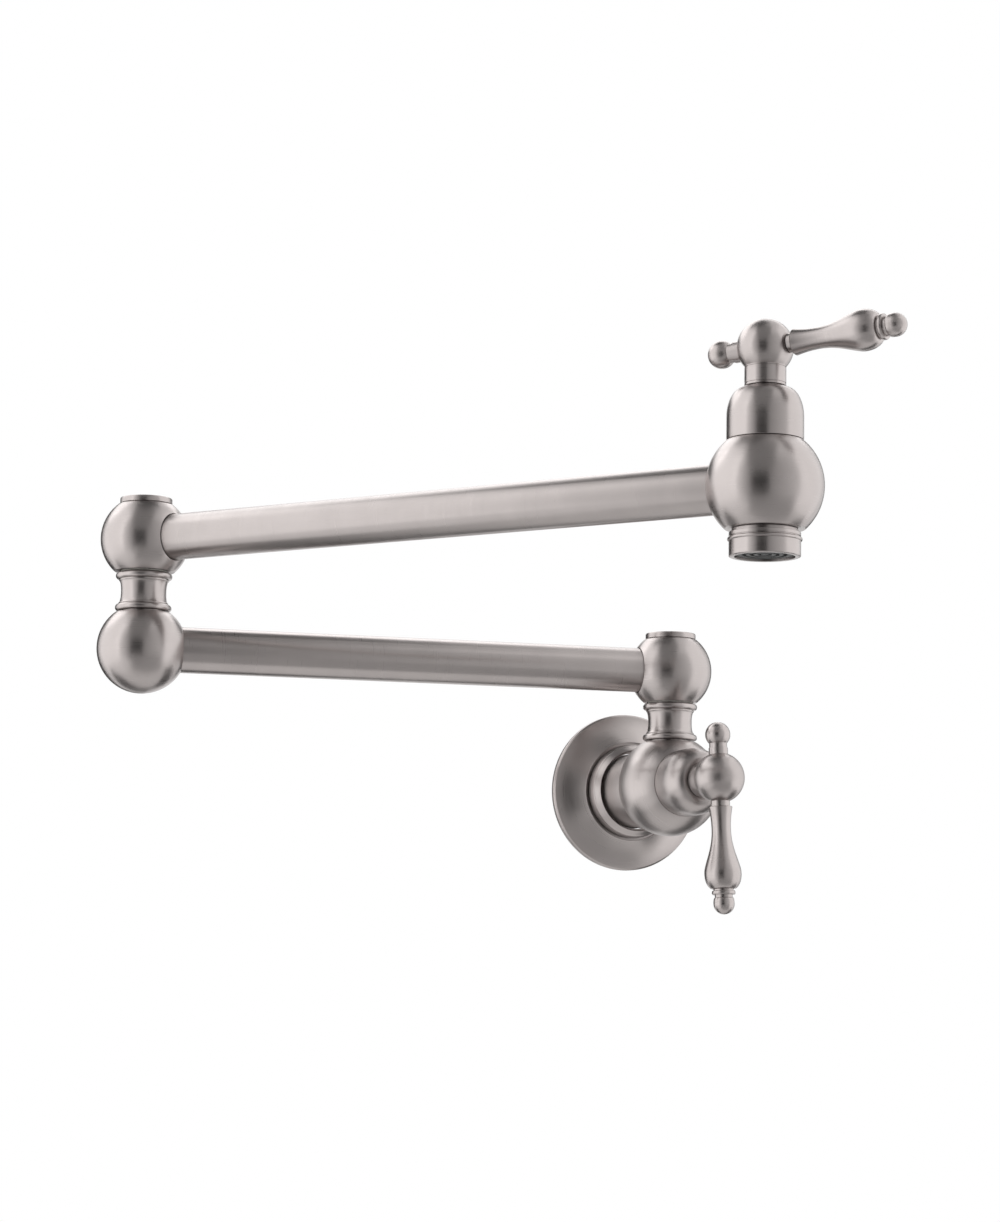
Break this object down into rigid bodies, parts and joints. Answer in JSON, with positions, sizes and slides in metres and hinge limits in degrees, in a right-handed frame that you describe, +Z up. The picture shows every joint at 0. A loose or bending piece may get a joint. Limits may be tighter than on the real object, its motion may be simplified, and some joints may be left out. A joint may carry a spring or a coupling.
{
  "type": "wall mounted pot filler",
  "caption": "Wall mounted pot filler tap with a folding double-jointed arm, ball joints, lever valves at the wall and over the outlet, and a round wall flange.",
  "frame": {"origin": "where the wall valve's axis meets the wall, at the centre of the flange's back face", "axes": "+Z up, +Y into the wall along the wall valve's axis, +X to the right seen from the room"},
  "size_m": [0.2963, 0.3162, 0.2251],
  "materials": {
    "brushed_nickel": "brushed nickel plate on brass, warm grey with a satin sheen",
    "brass": "bare machined brass",
    "stainless_steel": "plain stainless steel",
    "rubber": "black seal rubber",
    "ceramic": "lapped white alumina",
    "acetal": "natural white acetal",
    "aerator_plastic": "dark grey moulded plastic"
  },
  "bodies": {
    "wall_valve": {"wall_gasket": "rubber", "wall_flange": "brushed_nickel", "flange_lock_ring": "brushed_nickel", "valve_shank": "brushed_nickel", "valve_body": "brushed_nickel", "valve_seat_seal": "rubber", "valve_fixed_disc": "ceramic", "valve_cartridge_body": "brass", "valve_bonnet": "brushed_nickel", "swivel_post": "brushed_nickel", "swivel_thrust_washer": "acetal", "swivel_lower_o_ring": "rubber", "swivel_upper_o_ring": "rubber", "swivel_retaining_washer": "stainless_steel", "swivel_retaining_screw": "stainless_steel"},
    "wall_handle": {"wall_handle_moving_disc": "ceramic", "wall_handle_spindle": "brass", "wall_handle_spindle_o_ring": "rubber", "wall_handle_spindle_clip": "stainless_steel", "wall_handle_hub": "brushed_nickel", "wall_handle_set_screw": "stainless_steel", "wall_handle_lever": "brushed_nickel", "wall_handle_finial": "brushed_nickel"},
    "lower_arm": {"swivel_ball": "brushed_nickel", "swivel_cap": "brushed_nickel", "lower_tube": "brushed_nickel", "elbow_lower_ball": "brushed_nickel", "elbow_post": "brushed_nickel", "elbow_thrust_washer": "acetal", "elbow_lower_o_ring": "rubber", "elbow_upper_o_ring": "rubber", "elbow_retaining_washer": "stainless_steel", "elbow_retaining_screw": "stainless_steel"},
    "upper_arm": {"elbow_upper_ball": "brushed_nickel", "elbow_cap": "brushed_nickel", "upper_tube": "brushed_nickel", "spout_body": "brushed_nickel", "spout_seat_seal": "rubber", "spout_fixed_disc": "ceramic", "spout_cartridge_body": "brass", "spout_bonnet": "brushed_nickel", "outlet_collar": "brushed_nickel", "aerator_insert": "aerator_plastic", "aerator_washer": "rubber"},
    "spout_handle": {"spout_handle_moving_disc": "ceramic", "spout_handle_spindle": "brass", "spout_handle_spindle_o_ring": "rubber", "spout_handle_spindle_clip": "stainless_steel", "spout_handle_hub": "brushed_nickel", "spout_handle_set_screw": "stainless_steel", "spout_handle_lever": "brushed_nickel", "spout_handle_finial": "brushed_nickel"}
  },
  "joints": [
    {"name": "lower_arm_swivel", "type": "hinge", "parent": "wall_valve", "child": "lower_arm", "pos_m": [0, -0.0532, 0.05202], "axis": [0, 0, 1], "range_deg": [-1.5, 193]},
    {"name": "upper_arm_swivel", "type": "hinge", "parent": "lower_arm", "child": "upper_arm", "pos_m": [-0.24026, -0.02879, 0.10007], "axis": [0, 0, 1], "continuous": true},
    {"name": "wall_handle_turn", "type": "hinge", "parent": "wall_valve", "child": "wall_handle", "pos_m": [0, -0.0532, 0], "axis": [0, -1, 0], "range_deg": [0, 90]},
    {"name": "spout_handle_turn", "type": "hinge", "parent": "upper_arm", "child": "spout_handle", "pos_m": [-0.05455, -0.26821, 0.10007], "axis": [0, 0, 1], "range_deg": [0, 90]}
  ]
}
